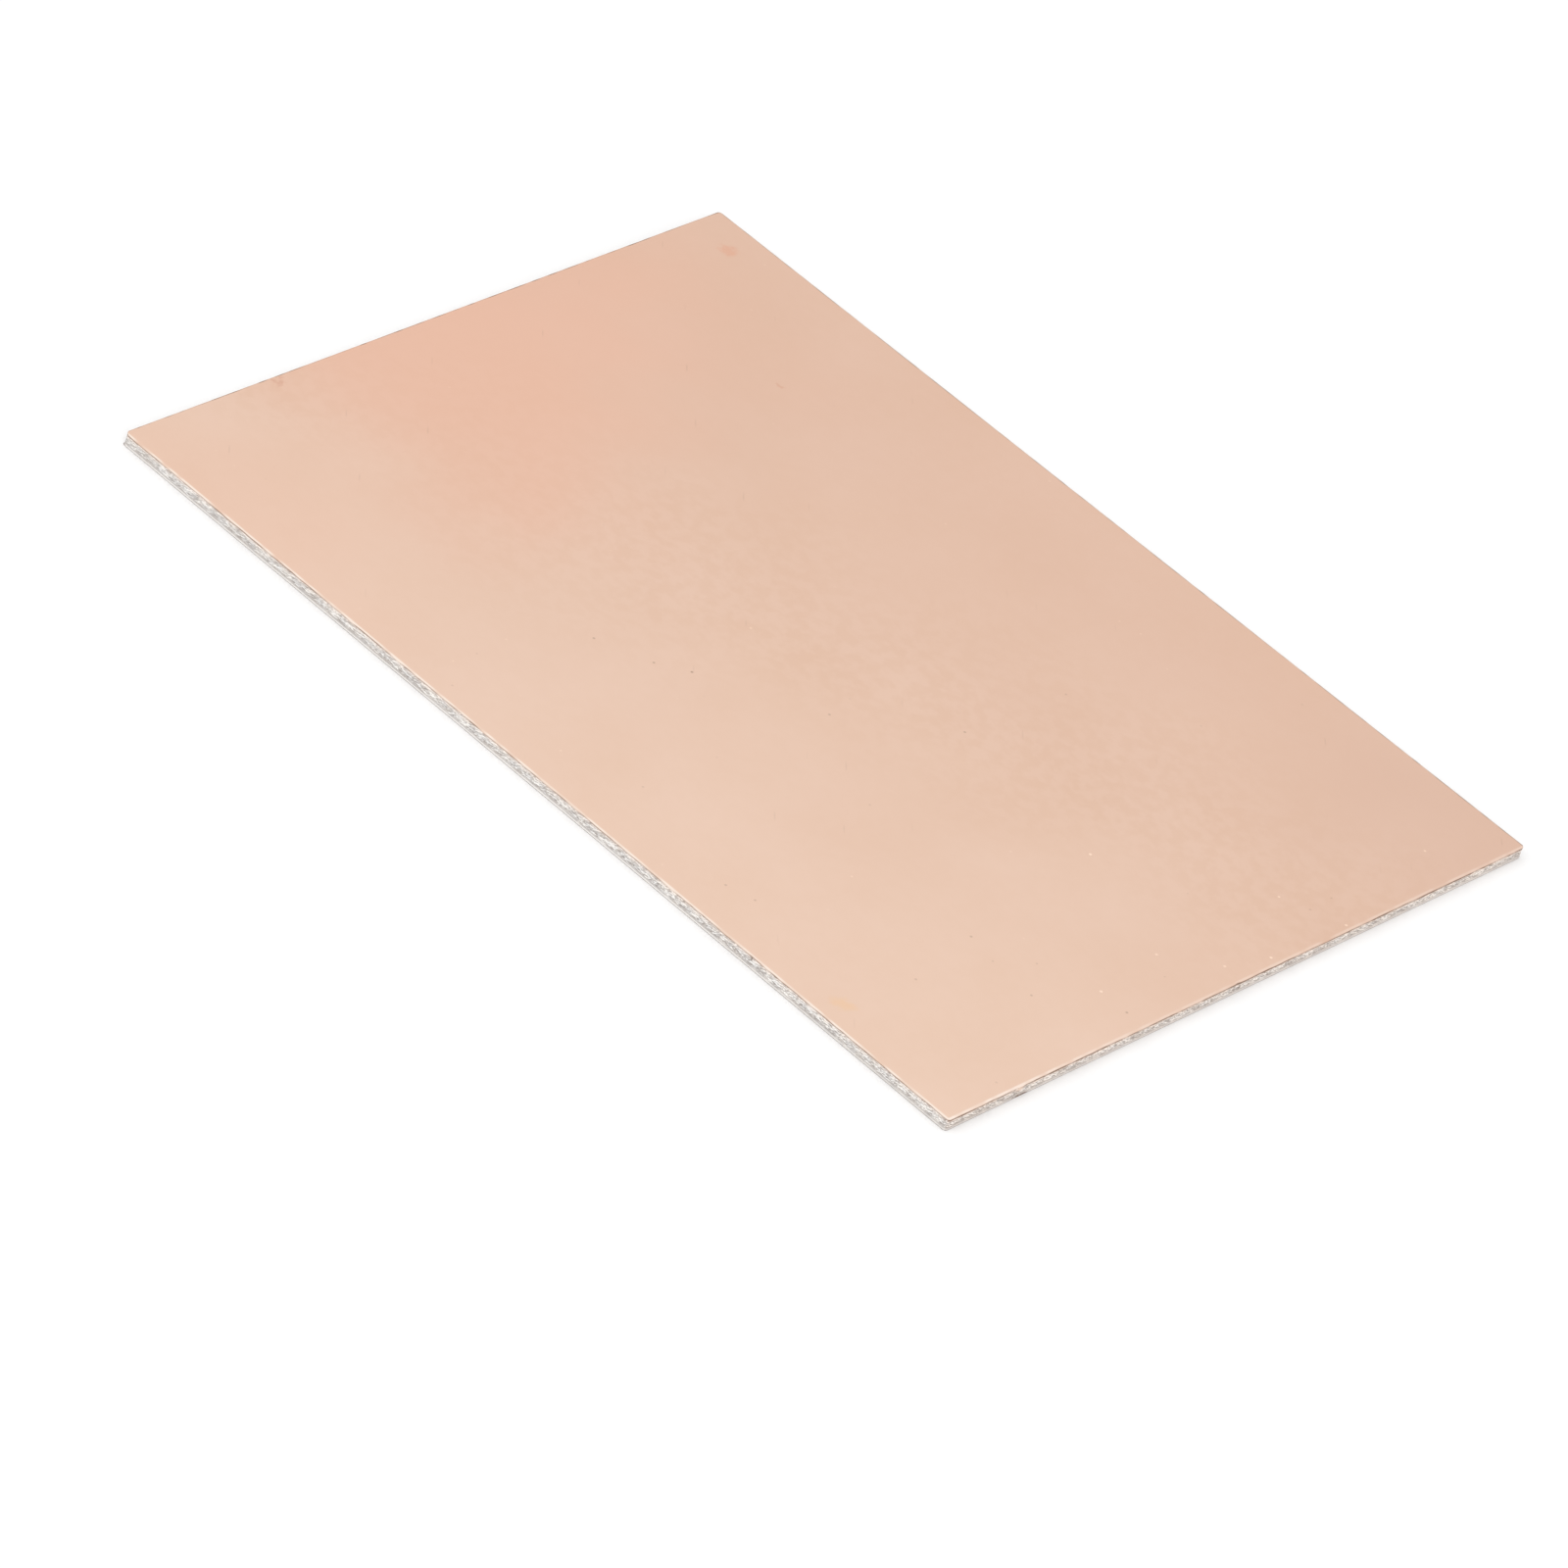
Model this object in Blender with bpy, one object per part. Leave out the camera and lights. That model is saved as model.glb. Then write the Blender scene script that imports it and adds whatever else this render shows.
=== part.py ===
"""A sheared blank of single-sided copper clad board, lying on its bare underside.

Sizes are in metres. The long side lies along X, the copper faces up, and the origin is the middle of the
underside. The upper blade of the shear came down on the copper, so along the edge the foil is drawn down in
a rolled rim, the laminate below it is torn back, and a smooth land is left next to the underside.
"""

from collections import namedtuple

import bmesh
import bpy
from mathutils import Vector

# The blank, measured over the copper
BOARD_LENGTH = 0.100
BOARD_WIDTH = 0.075
BOARD_THICKNESS = 0.0012
FOIL_THICKNESS = 0.000035

# The corners, where two cuts meet: the radius is that of the flat copper inside the rolled rim
FLAT_CORNER_RADIUS = 0.00015
CORNER_SEGMENTS = 6

# The sheared edge of the laminate, from the underside up
LOWER_ARRIS = 0.00003
LAND_HEIGHT = 0.00030
LAND_STEP = 0.00004
TORN_DEPTH = 0.00008
UPPER_PLY_HEIGHT = 0.00030
UPPER_PLY_STEP = 0.00008
UPPER_PLY_DEPTH = 0.00002
UNDERCUT_HEIGHT = 0.00006
UNDERCUT_DEPTH = 0.00006

# The rolled rim of the copper, on the shoulder that it pressed into the laminate
RIM_WIDTH = 0.00014
RIM_DROP = 0.00004
RIM_SEGMENTS = 3

# Places where the blade broke out a little copper and laminate, each a shallow scallop: its middle is so far
# from the front right corner, and its height is measured down from the flat copper
Chip = namedtuple("Chip", "from_corner length depth height")
RIGHT_EDGE_CHIPS = (
    Chip(from_corner=0.0087, length=0.0010, depth=0.00010, height=0.00045),
    Chip(from_corner=0.0363, length=0.0006, depth=0.00007, height=0.00030),
)
FRONT_EDGE_CHIPS = (
    Chip(from_corner=0.0229, length=0.0007, depth=0.00008, height=0.00030),
)
CHIP_CUTTER_SIDES = 48
CUTTER_CLEARANCE = 0.0005

# What follows from the sizes above
CORE_TOP = BOARD_THICKNESS - FOIL_THICKNESS
RIM_REACH = UNDERCUT_DEPTH + RIM_WIDTH
CORNER_RADIUS = FLAT_CORNER_RADIUS + RIM_REACH
CORNER_CENTRE = Vector((BOARD_LENGTH / 2 - CORNER_RADIUS, BOARD_WIDTH / 2 - CORNER_RADIUS))


def clear_scene():
    for thing in list(bpy.data.objects):
        bpy.data.objects.remove(thing, do_unlink=True)


def new_collection(name):
    collection = bpy.data.collections.new(name)
    bpy.context.scene.collection.children.link(collection)
    return collection


def principled(name, colour, roughness, metallic):
    """A plain surface with the colour, roughness and metalness that the piece shows."""
    material = bpy.data.materials.new(name)
    material.use_nodes = True
    shader = material.node_tree.nodes["Principled BSDF"]
    shader.inputs["Base Color"].default_value = (*colour, 1.0)
    shader.inputs["Roughness"].default_value = roughness
    shader.inputs["Metallic"].default_value = metallic
    material.diffuse_color = (*colour, 1.0)
    return material


def rim_height(inset):
    """Height of the face that the two layers share, which falls away towards the sheared edge."""
    share_of_reach = (RIM_REACH - inset) / RIM_REACH
    return CORE_TOP - RIM_DROP * share_of_reach**2


def shoulder_section():
    """The bonded part of the rim as (inset, height), from the undercut in to the flat face."""
    insets = [UNDERCUT_DEPTH + RIM_WIDTH * step / RIM_SEGMENTS for step in range(RIM_SEGMENTS + 1)]
    return [(inset, rim_height(inset)) for inset in insets]


def core_section():
    """The laminate's edge as (inset, height), from the underside to the flat face under the copper."""
    shoulder = rim_height(UNDERCUT_DEPTH)
    upper_ply = shoulder - UPPER_PLY_HEIGHT
    edge = [
        (LOWER_ARRIS, 0.0),
        (0.0, LOWER_ARRIS),
        (0.0, LAND_HEIGHT),
        (TORN_DEPTH, LAND_HEIGHT + LAND_STEP),
        (TORN_DEPTH, upper_ply - UPPER_PLY_STEP),
        (UPPER_PLY_DEPTH, upper_ply),
        (UPPER_PLY_DEPTH, shoulder - UNDERCUT_HEIGHT),
    ]
    return edge + shoulder_section()


def foil_section():
    """The copper's edge as (inset, height), out along its bonded face and back along its bright one."""
    bonded = shoulder_section()[::-1] + [(0.0, rim_height(0.0))]
    bright = [(inset, height + FOIL_THICKNESS) for inset, height in reversed(bonded)]
    return bonded + bright


def set_ring(points, inset, height):
    """Moves the outline's points to the outline that lies inset within the blank's edge, at a height."""
    for point in points:
        side_x = max(-CORNER_CENTRE.x, min(CORNER_CENTRE.x, point.co.x))
        side_y = max(-CORNER_CENTRE.y, min(CORNER_CENTRE.y, point.co.y))
        centre = Vector((side_x, side_y, point.co.z))
        outwards = (point.co - centre).normalized()
        point.co = centre + outwards * (CORNER_RADIUS - inset)
        point.co.z = height


def draw_outline(bm):
    """The blank's outline as one flat face, a rectangle with its four corners rounded. Returns its edges."""
    bmesh.ops.create_grid(bm, x_segments=1, y_segments=1, size=0.5)
    bmesh.ops.scale(bm, vec=(BOARD_LENGTH, BOARD_WIDTH, 1.0), verts=bm.verts)
    bmesh.ops.bevel(
        bm,
        geom=bm.verts[:],
        offset=CORNER_RADIUS,
        segments=CORNER_SEGMENTS,
        profile=0.5,
        affect="VERTICES",
    )
    return bm.edges[:]


def sheared_piece(name, section, collection, material):
    """A piece whose outline is drawn up through its edge section, from the first (inset, height) to the last."""
    bm = bmesh.new()
    ring = draw_outline(bm)
    set_ring(bm.verts, *section[0])
    for inset, height in section[1:]:
        drawn = bmesh.ops.extrude_edge_only(bm, edges=ring)["geom"]
        ring = [part for part in drawn if isinstance(part, bmesh.types.BMEdge)]
        set_ring([part for part in drawn if isinstance(part, bmesh.types.BMVert)], inset, height)
    bmesh.ops.edgeloop_fill(bm, edges=ring)
    bmesh.ops.recalc_face_normals(bm, faces=bm.faces)
    mesh = bpy.data.meshes.new(name)
    bm.to_mesh(mesh)
    bm.free()
    mesh.materials.append(material)
    piece = bpy.data.objects.new(name, mesh)
    collection.objects.link(piece)
    return piece


def chip_cutter(name, chip, edge_point, outwards, collection):
    """An upright cylinder that takes a scallop of the chip's length and depth out of an edge, from above."""
    radius = (chip.length**2 / 4 + chip.depth**2) / (2 * chip.depth)
    low = BOARD_THICKNESS - chip.height
    high = BOARD_THICKNESS + CUTTER_CLEARANCE
    axis = edge_point + outwards * (radius - chip.depth)
    bpy.ops.mesh.primitive_cylinder_add(
        vertices=CHIP_CUTTER_SIDES,
        radius=radius,
        depth=high - low,
        location=(axis.x, axis.y, (low + high) / 2),
    )
    cutter = bpy.context.object
    cutter.name = name
    cutter.display_type = "WIRE"
    cutter.hide_render = True
    for other in cutter.users_collection:
        other.objects.unlink(cutter)
    collection.objects.link(cutter)


def cut_away(piece, cutters):
    cut = piece.modifiers.new("edge chips", "BOOLEAN")
    cut.operation = "DIFFERENCE"
    cut.solver = "EXACT"
    cut.operand_type = "COLLECTION"
    cut.collection = cutters


def main():
    clear_scene()
    board = new_collection("copper_clad_board")
    cutters = new_collection("edge_chip_cutters")

    laminate = principled("glass cloth and epoxy", colour=(0.63, 0.62, 0.57), roughness=0.6, metallic=0.0)
    copper = principled("treated copper foil", colour=(0.80, 0.50, 0.36), roughness=0.35, metallic=1.0)
    core = sheared_piece("laminate_core", core_section(), board, laminate)
    foil = sheared_piece("copper_foil", foil_section(), board, copper)

    for number, chip in enumerate(RIGHT_EDGE_CHIPS, start=1):
        edge_point = Vector((BOARD_LENGTH / 2, chip.from_corner - BOARD_WIDTH / 2))
        chip_cutter(f"right_edge_chip_{number}", chip, edge_point, Vector((1, 0)), cutters)
    for number, chip in enumerate(FRONT_EDGE_CHIPS, start=1):
        edge_point = Vector((BOARD_LENGTH / 2 - chip.from_corner, -BOARD_WIDTH / 2))
        chip_cutter(f"front_edge_chip_{number}", chip, edge_point, Vector((0, -1)), cutters)
    cut_away(core, cutters)
    cut_away(foil, cutters)


main()
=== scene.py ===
"""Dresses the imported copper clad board, a sheared blank of glass cloth laminate with copper on one side.

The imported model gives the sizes. The laminate and the copper foil are modelled again with the relief of the
sheared edge, and a white studio floor, lamps and the camera are set up round them. Lengths are in metres.
"""

import math
import random
from collections import defaultdict
from typing import NamedTuple

import bmesh
import bpy
from bpy.props import FloatProperty, FloatVectorProperty, IntProperty, PointerProperty
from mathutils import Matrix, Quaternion, Vector, noise


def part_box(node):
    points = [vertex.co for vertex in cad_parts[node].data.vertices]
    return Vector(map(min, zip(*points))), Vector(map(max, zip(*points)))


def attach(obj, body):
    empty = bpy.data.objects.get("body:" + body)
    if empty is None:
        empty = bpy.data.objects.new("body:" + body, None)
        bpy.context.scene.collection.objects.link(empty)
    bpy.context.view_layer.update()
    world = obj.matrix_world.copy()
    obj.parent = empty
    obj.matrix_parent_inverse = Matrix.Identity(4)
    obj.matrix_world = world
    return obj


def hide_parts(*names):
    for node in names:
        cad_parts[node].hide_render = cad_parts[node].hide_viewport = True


bl_info = {
    "name": "Copper clad board",
    "version": (1, 0, 0),
    "blender": (4, 5, 0),
    "location": "3D view > Sidebar > Board",
    "description": "Builds the looks of a sheared copper clad board round its packed model",
    "category": "Object",
}

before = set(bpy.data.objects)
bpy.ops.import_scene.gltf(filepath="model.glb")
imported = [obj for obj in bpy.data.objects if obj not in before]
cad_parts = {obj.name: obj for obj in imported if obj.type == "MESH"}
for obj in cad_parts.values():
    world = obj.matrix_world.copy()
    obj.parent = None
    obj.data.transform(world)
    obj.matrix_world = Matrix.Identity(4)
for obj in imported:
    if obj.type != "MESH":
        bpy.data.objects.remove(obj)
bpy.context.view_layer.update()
CORE_LOW, CORE_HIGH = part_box("laminate_core")
FOIL_LOW, FOIL_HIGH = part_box("copper_foil")

BOARD_LENGTH = CORE_HIGH.x - CORE_LOW.x
BOARD_WIDTH = CORE_HIGH.y - CORE_LOW.y
CORE_TOP = CORE_HIGH.z
FOIL_THICKNESS = FOIL_HIGH.z - CORE_HIGH.z
TOP = CORE_TOP + FOIL_THICKNESS
RIM_DROP = CORE_HIGH.z - FOIL_LOW.z
SHOULDER = CORE_TOP - RIM_DROP

# The rim of the copper is rolled over this far from the cut, and the board has nearly sharp corners
RIM_REACH = 0.00020
CORNER_RADIUS = 0.00035
CORNER_CENTRE = Vector((BOARD_LENGTH / 2 - CORNER_RADIUS, BOARD_WIDTH / 2 - CORNER_RADIUS))

# A flat face ends in a ring of points this far inside its outline, which keeps smooth shading off it
FLAT_RING = 0.0001
# Size of the arris, and heights of the rows of points from there up the land
ARRIS = 0.00003
LAND_ROWS = (ARRIS, 0.00006, 0.00010, 0.00017, 0.00022)
# How far the last row of the cut edge lies below the shoulder
LAST_ROW_GAP = 0.00004
# Rows of points up the shoulder, and how far in from the cut the first of them lies
SHOULDER_ROWS = 4
SHOULDER_INSET = 0.00005
# Depth of the undercut, of the groove above the land and of single strands of glass
FINE_RELIEF = 0.00002

# What every point of the laminate's cut edge tells the material
LAMINATE_MARKS = ("drag", "grain", "glass_white", "land", "dust_and_bounce", "bond_line_and_shade", "smear", "crack_shade")

# Distances along the cut edge run from the back left corner down the left side, and on round the board
FRONT_START = BOARD_WIDTH
RIGHT_START = FRONT_START + BOARD_LENGTH
BACK_START = RIGHT_START + BOARD_WIDTH
EDGE_LENGTH = BACK_START + BOARD_LENGTH
LONG_SIDES = ("front", "back")

# Sockets of the Mix node when it mixes colours. Sockets 0 to 4 of the Map Range node are its value, the ends
# of the range that this comes from, and what the ends become.
MIX_SHARE, MIX_FIRST, MIX_SECOND, MIX_RESULT = 0, 6, 7, 2


def linear(hex_colour):
    """An sRGB hex colour as the linear red, green and blue that Blender works in."""
    channels = [int(hex_colour[i : i + 2], 16) / 255 for i in (1, 3, 5)]
    return [c / 12.92 if c <= 0.04045 else ((c + 0.055) / 1.055) ** 2.4 for c in channels]


def opaque(colour):
    return (*colour, 1.0)


def colour_setting(name, description, hex_colour):
    """A colour that the user can change, with its default as an sRGB hex colour."""
    return FloatVectorProperty(
        name=name, description=description, default=linear(hex_colour), size=3, subtype="COLOR"
    )


def add_node(tree, kind, inputs=None, **settings):
    """Adds a node with its own settings, and sets or links its inputs, named or numbered."""
    node = tree.nodes.new(kind)
    for setting, value in settings.items():
        setattr(node, setting, value)
    for socket, value in (inputs or {}).items():
        if isinstance(value, bpy.types.NodeSocket):
            tree.links.new(value, node.inputs[socket])
        else:
            node.inputs[socket].default_value = value
    return node


class LaminateSettings(bpy.types.PropertyGroup):
    """Sizes and colours of the pressed glass cloth and epoxy."""

    column_width: FloatProperty(
        name="Column width",
        description="Spacing of the mesh columns along the cut edge",
        default=0.00011,
        min=0.00005,
        unit="LENGTH",
    )
    row_height: FloatProperty(
        name="Row height",
        description="Spacing of the mesh rows up the torn part of the cut edge",
        default=0.00005,
        min=0.00002,
        unit="LENGTH",
    )
    ply_pitch: FloatProperty(
        name="Ply pitch",
        description="Thickness of one layer of glass cloth in the pressed board",
        default=0.000194,
        unit="LENGTH",
    )
    crest_pitch: FloatProperty(
        name="Crest pitch",
        description="Length of one wave of a yarn, over and under the yarns that cross it",
        default=0.0016,
        unit="LENGTH",
    )
    yarn_swing: FloatProperty(
        name="Yarn swing",
        description="How far such a yarn rises and falls from the middle of its ply",
        default=0.00006,
        unit="LENGTH",
    )
    drag_slope: FloatProperty(
        name="Drag slope",
        description="Rise of the torn glass per unit of length towards the front right corner",
        default=0.24,
    )
    torn_depth: FloatProperty(
        name="Torn depth",
        description="How far the torn part of the cut edge lies behind the smooth land",
        default=0.00007,
        unit="LENGTH",
    )
    land_height: FloatProperty(
        name="Land height",
        description="Height of the smooth land that the lower blade left next to the underside",
        default=0.00019,
        unit="LENGTH",
    )
    resin_colour: colour_setting("Resin colour", "Epoxy in the gaps between the yarns", "#A69D97")
    glass_colour: colour_setting("Glass colour", "Broken ends of the glass yarns", "#FFFCF7")
    land_colour: colour_setting("Land colour", "Laminate burnished by the lower blade", "#F8F4F0")
    # The bond line is the brown treatment, darkened further as painted shade under the overhanging rim
    bond_and_shade_colour: colour_setting(
        "Bond line colour", "Brown treatment of the foil that shows as a line under the copper", "#7E5F4B"
    )
    cool_tint: colour_setting(
        "Cool tint", "Patches of cooler grey in the torn edge, multiplied with its colour", "#F5F8FC"
    )
    # Painted light: this tint is copper dust and also warm light bounced from the copper
    copper_dust_and_bounce_tint: colour_setting(
        "Copper tint", "Copper dust rubbed into the torn edge, multiplied with its colour", "#FFEBDE"
    )
    smear_colour: colour_setting(
        "Smear colour", "Copper that the blade smeared over the laminate", "#E6C8B4"
    )
    # Painted shade: this colour darkens the cracks and splinters, and the lowest rows of the cut edge above
    # the arris
    crack_shade_colour: colour_setting(
        "Crack colour", "Cracks and splinters that show dark, and the grime along the lower arris", "#7D6A5E"
    )
    underside_colour: colour_setting("Underside colour", "Bare face of the laminate", "#DAD7CC")


class CopperSettings(bpy.types.PropertyGroup):
    """Sizes and colours of the copper foil."""

    column_width: FloatProperty(
        name="Column width",
        description="Spacing of the mesh columns along the rolled rim",
        default=0.00025,
        min=0.0001,
        unit="LENGTH",
    )
    rim_rows: IntProperty(
        name="Rim rows",
        description="Mesh rows across the rolled rim",
        default=6,
        min=3,
    )
    rim_waviness: FloatProperty(
        name="Rim waviness",
        description="How far the cut line of the copper hangs down where the cloth below it gave way",
        default=0.00006,
        unit="LENGTH",
    )
    # Painted highlight: the rim colour is near white to stand for the light that the rolled rim catches
    rim_highlight_colour: colour_setting(
        "Rim colour", "Bare copper of the rolled rim, burnished by the shear", "#FFEEE1"
    )
    # The cut colour is the smeared treatment together with painted shade, which darkens the outer edge of the
    # rim
    burr_and_shade_colour: colour_setting(
        "Cut colour", "Cut edge of the foil, with the brown bonding treatment smeared over it", "#967560"
    )
    copper_colour: colour_setting(
        "Copper colour", "Satin copper of the bright face, at the back of the board", "#E5C2AD"
    )
    # Painted sheen: this paler copper at the front stands for light reflected by the satin face
    painted_sheen_colour: colour_setting(
        "Paler copper colour", "Satin copper at the front, where its protective film lies thinner", "#F0D2BE"
    )
    film_tint: colour_setting(
        "Film tint", "Clouds in the protective film, multiplied with the copper's colour", "#FAF6F1"
    )
    blush_colour: colour_setting(
        "Blush colour", "Pinker, lightly oxidised copper near the left edge", "#EDBDA5"
    )
    speck_colour: colour_setting("Speck colour", "Dark specks of oxide, and scratches", "#A07C64")
    dot_colour: colour_setting("Dot colour", "Pale dots where the protective film is pricked", "#FFE4D1")
    treatment_colour: colour_setting(
        "Treatment colour", "Brown treated side of the foil, which is bonded to the laminate", "#6B4A38"
    )
    roughness: FloatProperty(
        name="Roughness",
        description="Roughness of the satin face",
        default=0.38,
        min=0.0,
        max=1.0,
        subtype="FACTOR",
    )


class StageSettings(bpy.types.PropertyGroup):
    """The camera, the floor and the lamps."""

    azimuth: FloatProperty(
        name="Camera azimuth",
        description="Turn of the camera round the board, from the front towards the right",
        default=math.radians(32.759),
        subtype="ANGLE",
    )
    elevation: FloatProperty(
        name="Camera elevation",
        description="Height of the camera above the board's plane",
        default=math.radians(35.737),
        subtype="ANGLE",
    )
    roll: FloatProperty(
        name="Camera roll",
        description="Tilt of the camera about its line of sight, anticlockwise",
        default=math.radians(18.846),
        subtype="ANGLE",
    )
    distance: FloatProperty(
        name="Camera distance",
        description="From the lens to the point that it aims at",
        default=0.82749,
        unit="LENGTH",
    )
    aim: FloatVectorProperty(
        name="Camera aim",
        description="Point on the copper in the middle of the picture",
        default=(0.012199, -0.018181, 0.00115),
        size=3,
        subtype="TRANSLATION",
    )
    lens: FloatProperty(
        name="Lens",
        description="Focal length in millimetres on a sensor 36 mm wide",
        default=227.14,
    )
    floor_size: FloatProperty(
        name="Floor size",
        description="Side of the square floor",
        default=30.0,
        unit="LENGTH",
    )
    floor_colour: colour_setting("Floor colour", "White floor", "#FFFFFF")
    sky_strength: FloatProperty(
        name="Room light",
        description="Strength of the even light from all round",
        default=0.84,
    )
    key_power: FloatProperty(
        name="Key lamp power",
        description="Power of the soft lamp at the front left, in watts",
        default=2.6,
    )
    top_power: FloatProperty(
        name="Top lamp power",
        description="Power of the softbox above the board, in watts",
        default=2.2,
    )
    edge_power: FloatProperty(
        name="Edge lamp power",
        description="Power of the low softbox at the front right, which lights the cut edges, in watts",
        default=3.6,
    )


def side_of(place):
    """The side of the board that a place along the cut edge is on, and how far along that side it is."""
    for side, start in (("back", BACK_START), ("right", RIGHT_START), ("front", FRONT_START)):
        if place >= start:
            return side, place - start
    return "left", place


def place_along(x, y):
    """Distance along the cut edge of a point on the board's rectangular outline."""
    to_left, to_right = x + BOARD_LENGTH / 2, BOARD_LENGTH / 2 - x
    to_front, to_back = y + BOARD_WIDTH / 2, BOARD_WIDTH / 2 - y
    nearest = min(to_left, to_front, to_right, to_back)
    if nearest == to_left:
        return to_back
    if nearest == to_front:
        return FRONT_START + to_left
    if nearest == to_right:
        return RIGHT_START + to_front
    return BACK_START + to_right


class Damage(NamedTuple):
    """A place where the cut edge broke out, deepest in its middle."""

    middle: float  # along the cut edge
    length: float
    depth: float
    low: float  # heights between which it lies
    high: float


# The scallops broke out of copper and laminate. The cracks are splits and splinters of the laminate.
SCALLOPS = (
    Damage(RIGHT_START + 0.0087, 0.0010, 0.00004, TOP - 0.00045, TOP),
    Damage(RIGHT_START + 0.0365, 0.0006, 0.00006, TOP - 0.00030, TOP),
    Damage(RIGHT_START - 0.0229, 0.0005, 0.00005, TOP - 0.00030, TOP),
    Damage(FRONT_START, 0.0010, 0.00014, 0.0, TOP),
)
CRACKS = (
    Damage(RIGHT_START - 0.0229, 0.00020, 0.00008, 0.00067, 0.00115),
    Damage(RIGHT_START + 0.0370, 0.00020, 0.00006, 0.00030, 0.00100),
    Damage(RIGHT_START + 0.0092, 0.00220, 0.00006, 0.00000, 0.00018),
)
# Where the blade smeared the copper down over the laminate. Its depth is how far the rim hangs down there.
SMEAR = Damage(RIGHT_START + 0.0090, 0.0015, 0.00005, 0.0, TOP)


class Cut(NamedTuple):
    """What the blade left on one side of the board, with the painted highlight and shade that go with it."""

    wave: float  # how much of the full waviness the copper's rim has
    burnish_and_highlight: float  # how brightly the rim is burnished and painted with a highlight
    burr_and_shade: float  # how far in from the cut the brown treatment is smeared over the rim, with painted shade
    bond_and_shade: float  # how clearly the brown treatment, darkened as painted shade under the rim, shows
    bond_reach: float  # how far it reaches down the laminate
    land: float  # how pale the land is
    tone: float  # how white the torn part is above the land
    rise: float  # how much whiter it is at its top
    grain: float  # how strong its grain is
    dust_and_bounce: float  # how much copper dust, with painted warm light bounced from the copper, tints it


CUTS = {
    "left": Cut(0.15, 0.0, 0.00010, 0.40, 0.00004, 0.7, 0.50, 0.20, 0.9, 0.1),
    "front": Cut(1.0, 1.0, 0.00001, 0.75, 0.00002, 1.0, 0.46, 0.26, 1.0, 0.05),
    "right": Cut(1.0, 0.35, -0.00002, 0.95, 0.00014, 0.35, 0.45, 0.38, 1.3, 0.35),
    "back": Cut(0.15, 0.0, 0.00010, 0.50, 0.00004, 0.7, 0.50, 0.20, 0.9, 0.35),
}


def hollow(damages, place, height):
    """How far damage takes the edge back at a place and height, and how much of its full depth that is."""
    inset = share = 0.0
    for damage in damages:
        off = 2 * (place - damage.middle) / damage.length
        if abs(off) < 1 and damage.low <= height <= damage.high:
            inset = max(inset, damage.depth * (1 - off * off))
            share = max(share, 1 - off * off)
    return inset, share


def ease(low, high, value):
    """Goes smoothly from 0 to 1 as the value goes from low to high."""
    share = max(0.0, min(1.0, (value - low) / (high - low)))
    return share * share * (3 - 2 * share)


def ripple(place, length, seed):
    """Noise of about -1 to 1 that changes along the edge over a length."""
    return noise.noise(Vector((place / length, seed, 0.5)))


def patches(place, height, length, width, seed):
    """Noise of about -1 to 1, in patches of a length along the edge and a width up it."""
    return noise.noise(Vector((place / length, height / width, seed)))


def draw_blank(bm, column_width, cell):
    """Makes a flat grid the size of the board, with finer columns along its edge.

    Every point of the outline has its place along the cut edge in a layer, and the rows drawn from it copy
    that. Returns the edges of the outline."""
    bmesh.ops.create_grid(
        bm, x_segments=round(BOARD_LENGTH / cell), y_segments=round(BOARD_WIDTH / cell), size=0.5
    )
    bmesh.ops.scale(bm, vec=(BOARD_LENGTH, BOARD_WIDTH, 1.0), verts=bm.verts)
    rim = [edge for edge in bm.edges if edge.is_boundary]
    bmesh.ops.subdivide_edges(bm, edges=rim, cuts=round(cell / column_width) - 1)
    place_layer = bm.verts.layers.float.new("place")
    for point in bm.verts:
        if point.is_boundary:
            point[place_layer] = place_along(point.co.x, point.co.y)
    return [edge for edge in bm.edges if edge.is_boundary]


def add_layers(bm, names):
    """Gives the points a number for each name. Returns those layers by name, with that of their place."""
    layers = {"place": bm.verts.layers.float["place"]}
    for name in names:
        layers[name] = bm.verts.layers.float.new(name)
    return layers


def set_point(point, inset, height):
    """Moves a point of a ring to the outline that lies inset within the board's edge, at a height."""
    side_x = max(-CORNER_CENTRE.x, min(CORNER_CENTRE.x, point.co.x))
    side_y = max(-CORNER_CENTRE.y, min(CORNER_CENTRE.y, point.co.y))
    outwards = Vector((point.co.x - side_x, point.co.y - side_y)).normalized()
    point.co.x = side_x + outwards.x * (CORNER_RADIUS - inset)
    point.co.y = side_y + outwards.y * (CORNER_RADIUS - inset)
    point.co.z = height


def draw_row(bm, ring):
    """Draws a new row out of a ring of edges. Returns its edges and its points."""
    drawn = bmesh.ops.extrude_edge_only(bm, edges=ring)["geom"]
    edges = [part for part in drawn if isinstance(part, bmesh.types.BMEdge)]
    points = [part for part in drawn if isinstance(part, bmesh.types.BMVert)]
    return edges, points


def rim_sag(place, waviness):
    """How far the cut line of the copper hangs down at a place along the edge."""
    wave = 0.5 + 1.1 * ripple(place, length=0.0016, seed=4.0)
    sag = CUTS[side_of(place)[0]].wave * waviness * max(0.0, min(1.2, wave))
    return sag + SMEAR.depth * smeared(place)


def smeared(place):
    """How fully the copper is smeared down over the laminate at a place along the edge, 0 to 1."""
    return ease(SMEAR.length / 2, 0.0, abs(place - SMEAR.middle))


def bond_and_shade_shows(place):
    """How clearly the brown treatment, darkened as painted shade under the rim, shows at a place along the
    edge, 0 to 1.
    """
    fleck = CUTS[side_of(place)[0]].bond_and_shade + 0.9 * ripple(place, length=0.0009, seed=13.5)
    return max(0.2, min(1.0, fleck)) * (1 - smeared(place))


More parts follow.
